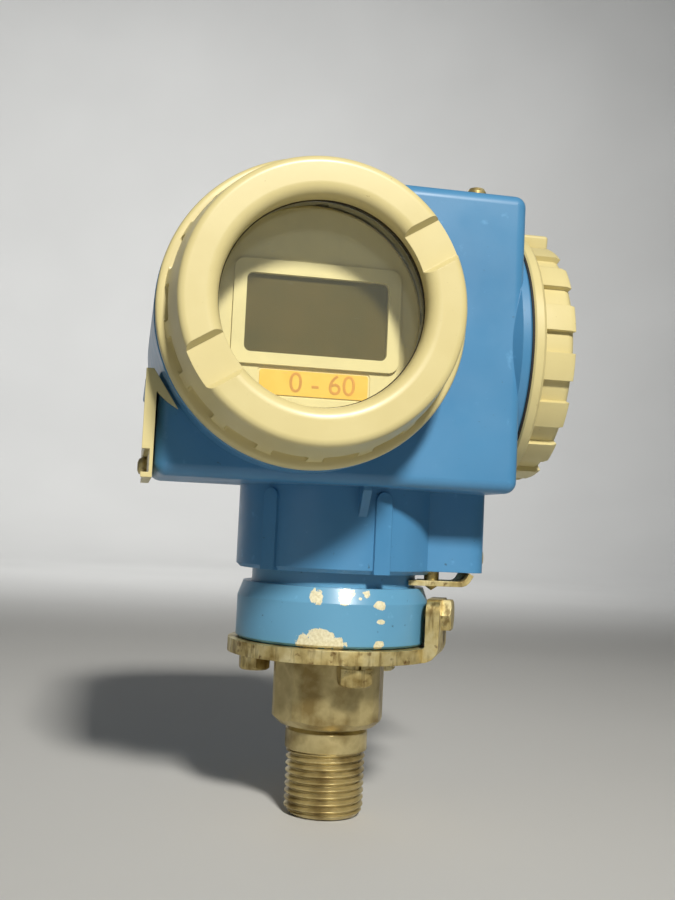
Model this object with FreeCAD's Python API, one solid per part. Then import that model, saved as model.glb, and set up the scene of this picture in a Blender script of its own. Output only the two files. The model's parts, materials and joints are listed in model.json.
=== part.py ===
"""Pressure transmitter: threaded process connection, round sensor housing and a cast two-compartment housing.

Frame: millimetres, +Z up along the process connection, the display looks towards -Y and the terminal cover
points towards +X. The origin is the centre of the thread's lower end.
"""
import FreeCAD, Part
import math
import os

V = FreeCAD.Vector
X_AXIS = V(1, 0, 0)
Y_AXIS = V(0, 1, 0)
Z_AXIS = V(0, 0, 1)

# ------------------------------------------------------------------ driving dimensions
# process connection: 1/2 in tapered pipe thread on a turned and milled bar
thread_r = 10.67
thread_len = 17.0
port_r = 5.7               # pressure port bored up the thread
port_depth = 14.0
feed_r = 2.5               # narrow feed from the port to the diaphragm
neck_r = 11.1
neck_len = 6.7
undercut = 0.8             # relief groove under the octagon
octagon_across_flats = 29.0
octagon_turned_r = 15.1    # the corners are turned down to this radius
octagon_len = 18.7
octagon_chamfer = 1.6
octagon_angle = -110.0     # where one flat looks, from +X towards +Y
flange_r = 17.6            # hidden flange that the plate clamps
flange_t = 4.0

# lock plate and its bolts
plate_t = 3.6
plate_r = 28.0
plate_slack = 0.25         # round the turned neck
arm_angle = -23.0
arm_width = 18.0
arm_flare = 30.0           # width where the tongue leaves the disc
arm_gap = 0.9              # arm to sensor housing
arm_top = 58.8
bend_r = 0.8
bolt_r = 2.5               # M5
bolt_hole_r = 2.75
bolt_ring_r = 21.3
bolt_angles = (-83.0, 37.0, 157.0)
bolt_head_flats = 8.0
bolt_head_h = 4.6
arm_bolt_head_h = 2.6
spring_washer_t = 1.3
spring_washer_r = 3.9
arm_bolt_z = 54.6
plate_bolt_reach = 8.0     # how far the plate's bolts go into the sensor housing
arm_bolt_reach = 5.0       # and the arm bolt
hole_room = 0.5            # below the end of a bolt or plug

# sensor housing
sensor_r = 26.0
sensor_h = 15.3
sensor_top_chamfer_r = 1.4
sensor_top_chamfer_h = 3.9
rim_gap = 0.4              # open line between the rim and the plate
rim_land_r = 24.4
collar_r = 22.3
collar_h = 3.7
spigot_r = 18.0
spigot_len = 15.0
spigot_bore_r = 8.0
cell_r = 13.0              # cavity that holds the measuring cell
cell_h = 9.1
flange_slack = 0.15
gasket_t = 0.4
ring_groove = 1.9
ring_groove_up = 5.0       # groove above the collar

# measuring cell
diaphragm_r = 11.2
diaphragm_t = 0.3
diaphragm_rim = 1.7
diaphragm_waves = 3
pressure_room = 0.9        # depth under the diaphragm
capsule_r = 11.9
capsule_h = 6.6
board_t = 1.2
lead_r = 2.2

# housing
compartment_z = 125.9      # height of both compartments
barrel_x = -16.6           # display barrel's axis
barrel_r = 36.8
body_inset = 2.4           # left side of the box inside the barrel's left edge
body_right = 40.0
body_half_depth = 34.0
body_bottom = 87.0
body_top = 164.0
body_edge_r = 3.0
underside_start = 8.0      # from here the box's underside rises towards the back
underside_rise = 4.0
barrel_front = -45.0
boss_r = 36.1              # round face that the terminal cover closes on
boss_right = 41.6
boss_cone = 2.5
mouth_r = 31.95            # threaded mouth of both compartments
mouth_depth = 12.0
cavity_r = 29.5
casting_wall = 4.5
shoulder_x = -9.0          # where the flat top ends beside the display barrel
shoulder_run = 15.0        # from there down to the barrel
housing_neck_r = 26.8
socket_slack = 0.05
socket_extra = 1.0         # room above the spigot
passage_r = 8.0
block_right = 38.8         # corner block beside the neck
block_half_depth = 15.0
block_corner_r = 5.0
block_gap = 1.0            # block's underside above the neck's
pilaster_angles = (-139.5, -74.7)
pilaster_w = 4.6
pilaster_proud = 0.7
pilaster_top = 86.0
gusset_x = 1.6
gusset_t = 2.2
gusset_reach = 4.6
gusset_bottom = 79.5
entry_boss_r = 14.0        # cable entry on the back
entry_boss_len = 6.0
entry_r = 9.2
entry_x = 22.8

# strap and pointed screw under the housing
strap_t = 1.4
strap_right = 31.5         # where the right end starts to turn up
strap_bend_r = 2.0
strap_bend = 60.0
strap_lip = 1.5
strap_left = 16.5
strap_front = -15.0
strap_width = 10.0
strap_drop = 1.4           # below the housing's underside
strap_slack = 0.6          # round the collar
lock_screw_r = 2.0
lock_screw_x = 24.9
lock_screw_y = -10.0
lock_screw_len = 9.0
lock_screw_tip = 1.4

# outside screws and vent
screw_head_slot = 0.9
side_screw_r = 3.0
side_screw_h = 2.1
side_screw_y = -4.0
side_screw_z = 70.0
top_screw_r = 2.5
top_screw_h = 2.2
top_screw_x = 27.7
top_screw_y = -28.0
small_shank_r = 1.5
small_shank_len = 7.0
vent_x = 30.0
vent_z = 76.0
vent_r = 3.0
vent_cap_r = 5.0
vent_cap_h = 4.5
vent_shank_len = 7.5

# screw covers
cover_flange_r = 36.6
cover_flange_t = 3.4
cover_gap = 0.6            # taken up by the seal
skirt_len = 9.6
skirt_slack = 0.35
cover_wall = 4.0
display_cover_h = 18.5
display_wall_base_r = 34.8
display_wall_front_r = 32.2
display_front_r = 1.6      # rounding of the front ring's edge
window_r = 23.4
window_face_r = 24.6
window_lip = 1.7
tool_slot_w = 10.0
tool_slot_depth = 2.0
tool_slot_angle = 32.0
pocket_count = 18
pocket_w = 8.0
pocket_h = 4.6
pocket_depth = 1.3
pocket_phase = 2.0
glass_t = 4.8
glass_seal_t = 0.4
retainer_t = 3.0
retainer_bore_r = 24.6
terminal_flange_r = 36.1
terminal_cover_h = 13.4
crown_r = 31.9
crown_block_proud = 1.5
crown_block_count = 16
crown_block_share = 0.45
crown_block_phase = -9.5
crown_edge = 2.0
lug_width = 9.0
lug_angle = 81.6
lug_end = 13.6            # a little past the cover's face
dish_r = 20.0
dish_depth = 1.0
seal_inner_r = 32.6
seal_outer_r = 35.8

# display and electronics
bezel_r = 26.3
bezel_front = 0.8          # in front of the barrel's mouth
bezel_t = 3.8
bezel_step = 0.9
lcd_w = 33.9
lcd_h = 18.6
lcd_x = 1.1                # from the barrel's axis
lcd_z = -0.4
lcd_sunk = 1.4
lcd_t = 1.6
lcd_slack = 0.15
lcd_corner_r = 1.5
label_w = 25.8
label_h = 5.8
label_z = -16.4
label_t = 0.3
label_corner_r = 0.6
label_sunk = 0.2
label_slack = 0.5
raised_side = 3.0          # raised field of the bezel past the window
raised_above = 3.3
raised_below = 2.8
raised_corner_r = 2.5
carrier_t = 9.0
module_flange_r = 29.0
module_flange_t = 2.0
module_can_r = 23.0
module_len = 34.0
module_boss_r = 3.2
module_boss_ring_r = 26.8
module_boss_len = 16.0
module_boss_angles = (100.0, 220.0, 340.0)
module_screw_head_r = 2.6
module_screw_head_h = 1.9
module_screw_reach = 8.0

# terminals
terminal_w = 36.0
terminal_h = 16.0
terminal_t = 10.5
terminal_pitch = 11.0
terminal_slot = 2.4
clamp_side = 7.0
clamp_t = 1.0
terminal_head_r = 2.7
terminal_head_h = 1.8
earth_y = 14.0
earth_drop = 19.0
earth_pad_h = 3.0
earth_pad_r = 4.2
feedthrough_r = 5.0
feedthrough_proud = 1.5

# keys and their flap on the left side
flap_gap = 0.4
flap_t = 2.1
flap_drop = 0.8            # flap's lower end below the box's underside
flap_plate_gap = 1.8       # plate's upper end below the hinge axis
flap_ear_t = 1.6
flap_ear_proud = 0.6       # front ear's outer edge beyond the plate
flap_side_gap = 0.4
pivot_r = 1.25
pivot_gap = 1.25           # between the knuckle and the barrel
pivot_drop = 15.2          # hinge axis below the compartments' height
hinge_lug_len = 44.0
pin_r = 0.7
pin_cover = 0.6            # ear's material over the pin's end
ear_top_w = 1.8
ear_barrel_gap = 0.8
ear_tip_angle = 218.1      # place of the ear's tip round the barrel
ear_root_drop = 5.3        # hollow under the ear: its height at the plate, below the tip's side
channel_rise = 1.2         # above the flap's lower end
channel_h = 5.5
channel_depth = 1.25
flap_screw_rise = 0.2      # above the channel's middle
flap_screw_head_r = 2.5
flap_screw_head_h = 2.4
flap_screw_depth = 3.0
flap_screw_swing = 0.7     # room for the screw's end as the flap swings
key_names = ("key_zero", "key_span", "key_enter")
key_pitch = 11.0
key_rise = 7.6             # keys above the flap's channel
key_r = 2.9
key_slack = 0.1
key_travel = 1.0
key_head_r = 3.5
key_head_t = 1.0
key_plate_t = 1.5
key_plate_w = 38.0
key_plate_h = 12.0
key_pocket_depth = 7.2
key_spring_r = 2.4
key_spring_wire = 0.7
key_spring_turns = 3.0
key_spring_steps = 12      # flats round one turn
key_gap_to_flap = 0.35
key_plate_screw_y = 16.5
key_plate_screw_r = 1.6
key_plate_screw_h = 0.7
key_plate_shank_r = 0.8
key_plate_shank_len = 4.0

# ------------------------------------------------------------------ levels that follow from the sizes above
octagon_z = thread_len + neck_len
plate_z = octagon_z + octagon_len
plate_top = plate_z + plate_t
sensor_top = plate_top + sensor_h
housing_z = sensor_top + collar_h
flange_top = plate_top + flange_t
cell_floor = flange_top + gasket_t
board_z = flange_top + capsule_h
spigot_top = housing_z + spigot_len
arm_inner = sensor_r + arm_gap
arm_outer = arm_inner + plate_t
skirt_r = mouth_r - skirt_slack
hollow_r = skirt_r - cover_wall
partition_x = barrel_x + cavity_r + casting_wall
body_left = barrel_x - barrel_r + body_inset
pivot_z = compartment_z - pivot_drop
pivot_x = barrel_x - math.sqrt((barrel_r + pivot_r + pivot_gap) ** 2 - pivot_drop ** 2)
flap_inner = body_left - flap_gap
flap_outer = flap_inner - flap_t
flap_seat = flap_outer + channel_depth
flap_bottom = body_bottom - flap_drop
flap_plate_top = pivot_z - flap_plate_gap
channel_bottom = flap_bottom + channel_rise
channel_top = channel_bottom + channel_h
flap_screw_z = (channel_bottom + channel_top) / 2 + flap_screw_rise
key_z = channel_top + key_rise
module_back = -(mouth_depth + 4.0)      # back of the module's flange, from the mouth
carrier_front = bezel_front - bezel_t
bezel_field = bezel_front - bezel_step


# ------------------------------------------------------------------ helpers
def cylinder(radius, length, base, axis=Z_AXIS):
    return Part.makeCylinder(radius, length, base, axis)


def tube(outer, inner, length, base, axis=Z_AXIS):
    return cylinder(outer, length, base, axis).cut(cylinder(inner, length, base, axis))


def block(x0, x1, y0, y1, z0, z1):
    return Part.makeBox(x1 - x0, y1 - y0, z1 - z0, V(x0, y0, z0))


def rounded_block(x0, x1, y0, y1, z0, z1, corner_r):
    """Block with its four upright edges rounded."""
    shape = block(x0, x1, y0, y1, z0, z1)
    upright = [e for e in shape.Edges if abs(e.CenterOfMass.z - (z0 + z1) / 2) < 0.01]
    return shape.makeFillet(corner_r, upright)


def turned(profile):
    """Solid of revolution about Z from a closed outline of (radius, height) points."""
    points = [V(r, 0, h) for r, h in profile]
    face = Part.Face(Part.makePolygon(points + points[:1]))
    return face.revolve(V(0, 0, 0), Z_AXIS, 360)


def prism(outline, plane_axis, start, length):
    """Extrudes a closed outline: (x, z) points along Y, or (x, y) points along Z."""
    if plane_axis == "y":
        points = [V(a, start, b) for a, b in outline]
        direction = V(0, length, 0)
    else:
        points = [V(a, b, start) for a, b in outline]
        direction = V(0, 0, length)
    return Part.Face(Part.makePolygon(points + points[:1])).extrude(direction)


def moved(shape, base, direction):
    """Carries a shape made along +Z at the origin to base, so that it runs along direction."""
    copy = shape.copy()
    place = FreeCAD.Placement(base, FreeCAD.Rotation(Z_AXIS, direction))
    copy.transformShape(place.toMatrix(), True)
    return copy


def turned_about_z(shape, degrees):
    copy = shape.copy()
    copy.rotate(V(0, 0, 0), Z_AXIS, degrees)
    return copy


def polar(radius, degrees, height=0.0):
    angle = math.radians(degrees)
    return V(radius * math.cos(angle), radius * math.sin(angle), height)


def polygon_bar(count, across_flats, length, base_z, flat_angle):
    """Regular bar about Z, with one flat looking towards flat_angle."""
    corner_r = across_flats / 2 / math.cos(math.pi / count)
    points = [polar(corner_r, flat_angle + 360.0 / count * (k + 0.5), base_z) for k in range(count)]
    return Part.Face(Part.makePolygon(points + points[:1])).extrude(V(0, 0, length))


def fused(first, *others):
    return first.fuse(list(others)).removeSplitter()


def pan_screw(head_r, head_h, shank_r, shank_len):
    """Slotted pan-head screw along Z: the head stands on z = 0 and the shank goes down."""
    head = turned([(0, 0), (head_r, 0), (head_r, head_h * 0.45), (head_r * 0.8, head_h * 0.85),
                   (head_r * 0.45, head_h), (0, head_h)])
    slot = block(-head_r, head_r, -screw_head_slot / 2, screw_head_slot / 2, head_h * 0.5, head_h)
    return fused(head.cut(slot), cylinder(shank_r, shank_len, V(0, 0, -shank_len)))


def hex_bolt(shank_len, head_h):
    """Hexagon bolt along Z: the head's bearing face is z = 0, the head goes up and the shank goes down."""
    flats = polygon_bar(6, bolt_head_flats, head_h, 0, 0)
    dome = turned([(0, 0), (bolt_head_flats / 2 * 1.16, 0), (bolt_head_flats / 2 * 1.16, head_h * 0.82),
                   (bolt_head_flats / 2 * 0.92, head_h), (0, head_h)])
    return fused(flats.common(dome), cylinder(bolt_r, shank_len, V(0, 0, -shank_len)))


def display_place(shape):
    """Local frame of the display side: x to the right, y up, z out of the barrel's mouth."""
    return moved(shape, V(barrel_x, barrel_front, compartment_z), V(0, -1, 0))


def terminal_place(shape):
    """Local frame of the terminal side: z out of the mouth, x down, y to the back."""
    return moved(shape, V(boss_right, 0, compartment_z), X_AXIS)


# ------------------------------------------------------------------ process connection and measuring cell
def process_connection():
    neck_top = octagon_z
    body = turned([
        (0, 0), (thread_r, 0), (thread_r, thread_len),
        (neck_r, thread_len), (neck_r, neck_top - 2 * undercut), (neck_r - undercut, neck_top - undercut),
        (neck_r - undercut, neck_top), (0, neck_top)])
    octagon = polygon_bar(8, octagon_across_flats, octagon_len, octagon_z, octagon_angle)
    turning = turned([
        (0, octagon_z), (octagon_turned_r - octagon_chamfer, octagon_z),
        (octagon_turned_r, octagon_z + octagon_chamfer), (octagon_turned_r, plate_z), (0, plate_z)])
    upper = turned([
        (0, plate_z), (octagon_turned_r, plate_z), (octagon_turned_r, plate_top), (flange_r, plate_top),
        (flange_r, flange_top), (diaphragm_r, flange_top), (diaphragm_r, flange_top - diaphragm_t),
        (diaphragm_r - diaphragm_rim, flange_top - diaphragm_t),
        (diaphragm_r - diaphragm_rim, flange_top - diaphragm_t - pressure_room),
        (0, flange_top - diaphragm_t - pressure_room)])
    solid = fused(body, octagon.common(turning), upper)
    port = turned([(0, -1), (port_r, -1), (port_r, port_depth), (feed_r, port_depth + port_r - feed_r),
                   (0, port_depth + port_r - feed_r)])
    feed = cylinder(feed_r, flange_top - port_depth, V(0, 0, port_depth))
    return solid.cut(port).cut(feed)


def process_diaphragm():
    """Thin welded diaphragm with concentric waves."""
    inner = diaphragm_r - diaphragm_rim
    top = flange_top
    steps = diaphragm_waves * 2
    upper = [(inner * k / steps, top - 0.25 * (k % 2)) for k in range(steps, -1, -1)]
    lower = [(r, h - diaphragm_t) for r, h in reversed(upper)]
    return turned([(diaphragm_r, top), (inner, top)] + upper[1:] + lower[:-1]
                  + [(inner, top - diaphragm_t), (diaphragm_r, top - diaphragm_t)])


def sensor_capsule():
    pins = [cylinder(0.4, board_t + 1.0, polar(5.0, 60.0 * k, board_z)) for k in range(6)]
    body = turned([(0, flange_top), (capsule_r, flange_top), (capsule_r, board_z - 2.0),
                   (capsule_r - 1.5, board_z - 2.0), (capsule_r - 1.5, board_z), (0, board_z)])
    return fused(body, *pins)


def sensor_board():
    board = cylinder(capsule_r, board_t, V(0, 0, board_z))
    for k in range(6):
        board = board.cut(cylinder(0.4, board_t, polar(5.0, 60.0 * k, board_z)))
    return board


def sensor_lead():
    """Insulated bundle from the sensor board up to the electronics module."""
    module_low = compartment_z - math.sqrt(module_can_r ** 2 - (barrel_x + lead_r) ** 2)
    return cylinder(lead_r, module_low - board_z - board_t, V(0, 0, board_z + board_t))


def flange_gasket():
    return tube(flange_r, flange_r - 3.0, gasket_t, V(0, 0, flange_top))


# ------------------------------------------------------------------ lock plate, bolts and sensor housing
def lock_plate():
    """Sheet plate with a tongue bent up into an arm beside the sensor housing."""
    disc = cylinder(plate_r, plate_t, V(0, 0, plate_z))
    flat_end = arm_outer - bend_r - plate_t
    base = plate_r * 0.62
    tongue = prism([(base, -arm_flare / 2), (flat_end, -arm_width / 2), (flat_end, arm_width / 2),
                    (base, arm_flare / 2)], "z", plate_z, plate_t)
    outer = cylinder(bend_r + plate_t, arm_width, V(flat_end, -arm_width / 2, plate_top + bend_r), Y_AXIS)
    inner = cylinder(bend_r, arm_width, V(flat_end, -arm_width / 2, plate_top + bend_r), Y_AXIS)
    corner = block(flat_end, arm_outer, -arm_width / 2, arm_width / 2, plate_z, plate_top + bend_r)
    bend = outer.cut(inner).common(corner)
    arm = block(arm_inner, arm_outer, -arm_width / 2, arm_width / 2, plate_top + bend_r, arm_top)
    top_edges = [e for e in arm.Edges if abs(e.CenterOfMass.z - arm_top) < 0.01 and e.Length < plate_t + 0.1]
    arm = arm.makeFillet(plate_t * 0.9, top_edges)
    arm = arm.cut(cylinder(bolt_hole_r, plate_t, V(arm_inner, 0, arm_bolt_z), X_AXIS))
    plate = fused(disc, *[turned_about_z(s, arm_angle) for s in (tongue, bend, arm)])
    plate = plate.cut(cylinder(octagon_turned_r + plate_slack, plate_t, V(0, 0, plate_z)))
    for angle in bolt_angles:
        plate = plate.cut(cylinder(bolt_hole_r, plate_t, polar(bolt_ring_r, angle, plate_z)))
    return plate


def plate_bolts():
    """Three bolts, heads down, that clamp the plate and the flange to the sensor housing."""
    reach = spring_washer_t + plate_t + plate_bolt_reach
    low = plate_z - spring_washer_t
    bolts = [moved(hex_bolt(reach, bolt_head_h), polar(bolt_ring_r, angle, low), V(0, 0, -1)) for angle in bolt_angles]
    return Part.makeCompound(bolts)


def plate_washers():
    washers = []
    for angle in bolt_angles:
        base = polar(bolt_ring_r, angle, plate_z - spring_washer_t)
        ring = tube(spring_washer_r, bolt_r, spring_washer_t, base)
        split = turned_about_z(block(bolt_ring_r, bolt_ring_r + spring_washer_r + 1, -0.3, 0.3,
                                     plate_z - spring_washer_t, plate_z), angle)
        washers.append(ring.cut(split))
    return Part.makeCompound(washers)


def arm_bolt():
    reach = plate_t + arm_gap + arm_bolt_reach
    bolt = moved(hex_bolt(reach, arm_bolt_head_h), V(arm_outer, 0, arm_bolt_z), X_AXIS)
    return turned_about_z(bolt, arm_angle)


def sensor_housing():
    """Round casting: rim, collar under the housing and spigot inside it, hollow for the measuring cell."""
    rim_bottom = plate_top + rim_gap
    groove_z = housing_z + ring_groove_up
    outer = turned([
        (flange_r + flange_slack, plate_top), (rim_land_r, plate_top), (rim_land_r, rim_bottom),
        (sensor_r - 0.5, rim_bottom), (sensor_r, rim_bottom + 0.5),
        (sensor_r, sensor_top - sensor_top_chamfer_h), (sensor_r - sensor_top_chamfer_r, sensor_top),
        (collar_r, sensor_top), (collar_r, housing_z), (spigot_r, housing_z), (spigot_r, groove_z),
        (spigot_r - ring_groove, groove_z), (spigot_r - ring_groove, groove_z + ring_groove + 0.5),
        (spigot_r, groove_z + ring_groove + 0.5), (spigot_r, spigot_top - 1.0), (spigot_r - 1.0, spigot_top),
        (spigot_bore_r, spigot_top), (spigot_bore_r, cell_floor + cell_h), (cell_r, cell_floor + cell_h),
        (cell_r, cell_floor), (flange_r + flange_slack, cell_floor)])
    for angle in bolt_angles:
        outer = outer.cut(cylinder(bolt_r, plate_bolt_reach + hole_room, polar(bolt_ring_r, angle, plate_top)))
    side_hole = cylinder(bolt_r, arm_bolt_reach + 1.0, V(sensor_r - arm_bolt_reach, 0, arm_bolt_z), X_AXIS)
    return outer.cut(turned_about_z(side_hole, arm_angle))


def neck_seal():
    """O-ring in the spigot's groove."""
    centre_z = housing_z + ring_groove_up + ring_groove / 2 + 0.25
    centre_r = spigot_r - ring_groove / 2
    section = ring_groove / 2
    points = []
    for k in range(8):
        angle = math.radians(45.0 * k + 22.5)
        points.append((centre_r + section * math.cos(angle), centre_z + section * math.sin(angle)))
    return turned(points)


def lock_strap():
    """Bent clip: flat under the housing, its right end turned up beside the corner block."""
    low = housing_z - strap_drop - strap_t
    back = strap_front + strap_width
    flat = block(strap_left, strap_right, strap_front, back, low, low + strap_t)
    flat = flat.cut(cylinder(collar_r + strap_slack, strap_t, V(0, 0, low)))
    centre = V(strap_right, 0, low + strap_t + strap_bend_r)
    section = Part.Face(Part.makePolygon([
        V(strap_right, strap_front, low), V(strap_right, back, low), V(strap_right, back, low + strap_t),
        V(strap_right, strap_front, low + strap_t), V(strap_right, strap_front, low)]))
    bend = section.revolve(centre, Y_AXIS, -strap_bend)
    end = section.copy()
    end.rotate(centre, Y_AXIS, -strap_bend)
    lip = end.extrude(polar_up(strap_lip, strap_bend))
    strap = fused(flat, bend, lip)
    return strap.cut(cylinder(lock_screw_r, strap_t, V(lock_screw_x, lock_screw_y, low)))


def polar_up(length, degrees):
    """Vector in the XZ plane, raised from +X."""
    angle = math.radians(degrees)
    return V(length * math.cos(angle), 0, length * math.sin(angle))


def lock_screw():
    """Pointed screw that holds the strap; its cone shows below the strap."""
    low = housing_z - strap_drop - strap_t - lock_screw_tip
    screw = turned([(0, 0), (lock_screw_r, lock_screw_tip), (lock_screw_r, lock_screw_tip + lock_screw_len),
                    (0, lock_screw_tip + lock_screw_len)])
    screw.translate(V(lock_screw_x, lock_screw_y, low))
    return screw


# ------------------------------------------------------------------ cast housing
def housing_outline():
    return [(body_left, body_bottom), (body_right, body_bottom), (body_right, body_top),
            (shoulder_x, body_top), (shoulder_x - shoulder_run, compartment_z + barrel_r * 0.93),
            (barrel_x, compartment_z), (body_left, compartment_z - barrel_r * 0.37)]


def housing_body():
    """The cast box with rounded edges, up to the display barrel."""
    box = prism(housing_outline(), "y", -body_half_depth, 2 * body_half_depth)
    centre = V(barrel_x, 0, compartment_z)
    rounded = []
    for edge in box.Edges:
        middle = edge.CenterOfMass
        outside = V(middle.x - centre.x, 0, middle.z - centre.z).Length > barrel_r
        if outside:
            rounded.append(edge)
    return box.makeFillet(body_edge_r, rounded).cut(underside_wedge(body_left, body_right, body_bottom))


def underside_wedge(left, right, bottom):
    """Wedge under the rear half of the box or the flap, where the underside rises towards the back."""
    back = body_half_depth + 4.0
    slope = underside_rise / (body_half_depth - underside_start)
    wedge = prism([(underside_start, bottom - 1.0), (back, bottom - 1.0),
                   (back, bottom + slope * (back - underside_start)), (underside_start, bottom)],
                  "y", -right - 1.0, right - left + 2.0)
    wedge.rotate(V(0, 0, 0), Z_AXIS, 90)
    return wedge


def corner_block():
    low = housing_z + block_gap
    high = body_bottom + underside_rise
    shape = block(0, block_right, -block_half_depth, block_half_depth, low, high)
    corners = [e for e in shape.Edges
               if abs(e.CenterOfMass.x - block_right) < 0.01 and abs(e.CenterOfMass.z - (low + high) / 2) < 0.01]
    return shape.makeFillet(block_corner_r, corners)


def pilaster(angle):
    """Rounded vertical rib on the neck with a half-round top."""
    out = housing_neck_r + pilaster_proud
    high = pilaster_top - pilaster_w / 2
    bar = block(housing_neck_r - 3.0, out, -pilaster_w / 2, pilaster_w / 2, housing_z, high)
    top = cylinder(pilaster_w / 2, 3.0 + pilaster_proud, V(housing_neck_r - 3.0, 0, high), X_AXIS)
    return turned_about_z(fused(bar, top), angle)


def gusset():
    """Thin rib between the neck's front and the underside of the box."""
    front = -housing_neck_r
    high = body_bottom + body_edge_r
    web = prism([(front + 3.0, gusset_bottom), (front, gusset_bottom), (front - gusset_reach, high - 4.0),
                 (front - gusset_reach, high), (front + 3.0, high)], "y", 0, gusset_t)
    web.rotate(V(0, 0, 0), Z_AXIS, 90)
    web.translate(V(gusset_x + gusset_t / 2, 0, 0))
    return web


def hinge_lug():
    """Lug on the left side that carries the flap's hinge pin."""
    start = -hinge_lug_len / 2
    knuckle = cylinder(pivot_r, hinge_lug_len, V(pivot_x, start, pivot_z), Y_AXIS)
    root = block(pivot_x, body_left + 4.0, start, -start, pivot_z - pivot_r, pivot_z + pivot_r)
    return fused(knuckle, root)


def housing():
    """Die-cast housing: display barrel to the front, terminal compartment to the right, neck below."""
    display_centre = V(barrel_x, 0, compartment_z)
    barrel = moved(turned([(0, 0), (barrel_r - 0.8, 0), (barrel_r, 0.8),
                           (barrel_r, body_half_depth - barrel_front - 4.0),
                           (barrel_r - 4.0, body_half_depth - barrel_front), (0, body_half_depth - barrel_front)]),
                   V(barrel_x, barrel_front, compartment_z), Y_AXIS)
    boss_back = boss_right - body_right + 1.0
    boss = terminal_place(turned([(0, 0), (boss_r - 0.6, 0), (boss_r, -0.6), (boss_r, -boss_back),
                                  (boss_r - boss_cone, -boss_back - boss_cone), (0, -boss_back - boss_cone)]))
    neck_high = body_bottom + underside_rise
    neck = turned([(0, housing_z), (housing_neck_r - 1.0, housing_z), (housing_neck_r, housing_z + 1.0),
                   (housing_neck_r, neck_high), (0, neck_high)])
    entry = cylinder(entry_boss_r, entry_boss_len + 6.0, V(entry_x, body_half_depth - 6.0, compartment_z), Y_AXIS)
    solid = fused(housing_body(), barrel, boss, neck, corner_block(), gusset(), hinge_lug(), entry,
                  *[pilaster(angle) for angle in pilaster_angles])

    depth = body_half_depth - casting_wall - barrel_front
    display_room = display_place(turned([(0, 1), (mouth_r, 1), (mouth_r, -mouth_depth), (cavity_r, -mouth_depth),
                                         (cavity_r, -depth), (0, -depth)]))
    terminal_depth = boss_right - partition_x
    terminal_room = terminal_place(turned([(0, 1), (mouth_r, 1), (mouth_r, -mouth_depth),
                                           (cavity_r, -mouth_depth), (cavity_r, -terminal_depth),
                                           (0, -terminal_depth)]))
    cavity_low = compartment_z - math.sqrt(cavity_r ** 2 - barrel_x ** 2)
    socket_top = spigot_top + socket_extra
    passage = turned([(0, housing_z - 1), (spigot_r + socket_slack, housing_z - 1),
                      (spigot_r + socket_slack, socket_top), (passage_r, socket_top + 6.0),
                      (passage_r, cavity_low + 2.0), (0, cavity_low + 2.0)])
    feed_hole = cylinder(feedthrough_r, 2 * casting_wall, V(partition_x - 1.5 * casting_wall, 0, compartment_z),
                         X_AXIS)
    entry_start = math.sqrt(cavity_r ** 2 - entry_r ** 2) - 0.5
    entry_hole = cylinder(entry_r, body_half_depth + entry_boss_len - entry_start,
                          V(entry_x, entry_start, compartment_z), Y_AXIS)
    solid = solid.cut(display_room).cut(terminal_room).cut(passage).cut(feed_hole).cut(entry_hole)

    bosses = []
    for angle in module_boss_angles:
        foot = polar(module_boss_ring_r, angle, module_back - module_boss_len)
        post = cylinder(module_boss_r, module_boss_len, foot)
        web_end = polar(cavity_r + 0.5, angle, module_back - module_boss_len)
        post = fused(post, cylinder(module_boss_r * 0.8, module_boss_len, web_end))
        post = post.cut(cylinder(small_shank_r, module_boss_len, foot))
        bosses.append(display_place(post))
    earth_pad = cylinder(earth_pad_r, earth_pad_h, V(partition_x, earth_y, compartment_z - earth_drop), X_AXIS)
    solid = fused(solid, *bosses, earth_pad)

    for cutter in small_holes():
        solid = solid.cut(cutter)
    return solid


def small_holes():
    """Screw holes, key pockets, pin hole and the recess for the key plate."""
    pocket_floor = body_left + key_pocket_depth
    vent_room = vent_shank_len + hole_room
    pin_half = body_half_depth + flap_side_gap + flap_ear_t - pin_cover
    holes = [
        cylinder(small_shank_r, small_shank_len, V(block_right - small_shank_len, side_screw_y, side_screw_z),
                 X_AXIS),
        cylinder(small_shank_r, small_shank_len, V(top_screw_x, top_screw_y, body_top - small_shank_len)),
        cylinder(vent_r, vent_room, V(vent_x, block_half_depth - vent_room, vent_z), Y_AXIS),
        cylinder(lock_screw_r, lock_screw_len, V(lock_screw_x, lock_screw_y, housing_z)),
        cylinder(small_shank_r, earth_pad_h + 3.0,
                 V(partition_x - 3.0, earth_y, compartment_z - earth_drop), X_AXIS),
        cylinder(pin_r, 2 * pin_half, V(pivot_x, -pin_half, pivot_z), Y_AXIS),
        cylinder(small_shank_r + flap_screw_swing, flap_screw_depth + 1.0,
                 V(body_left, 0, flap_screw_z), X_AXIS),
        block(body_left - 1, body_left + key_plate_t, -key_plate_w / 2 - 0.1, key_plate_w / 2 + 0.1,
              key_z - key_plate_h / 2 - 0.1, key_z + key_plate_h / 2 + 0.1),
    ]
    for k in range(len(key_names)):
        y = (k - 1) * key_pitch
        holes.append(cylinder(key_head_r + 0.3, key_pocket_depth, V(body_left, y, key_z), X_AXIS))
    for side in (-1, 1):
        holes.append(cylinder(key_plate_shank_r, key_plate_shank_len + 1.0,
                              V(body_left, side * key_plate_screw_y, key_z), X_AXIS))
        holes.append(cylinder(small_shank_r, 8.0, V(partition_x - 3.0, side * (terminal_w / 2 - 3.0),
                                                    compartment_z + terminal_h / 2 - 3.0), X_AXIS))
    for k in range(len(key_names)):
        holes.append(cylinder(key_spring_r + 0.2, 0.4, V(pocket_floor - 0.4, (k - 1) * key_pitch, key_z), X_AXIS))
    return holes


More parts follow.
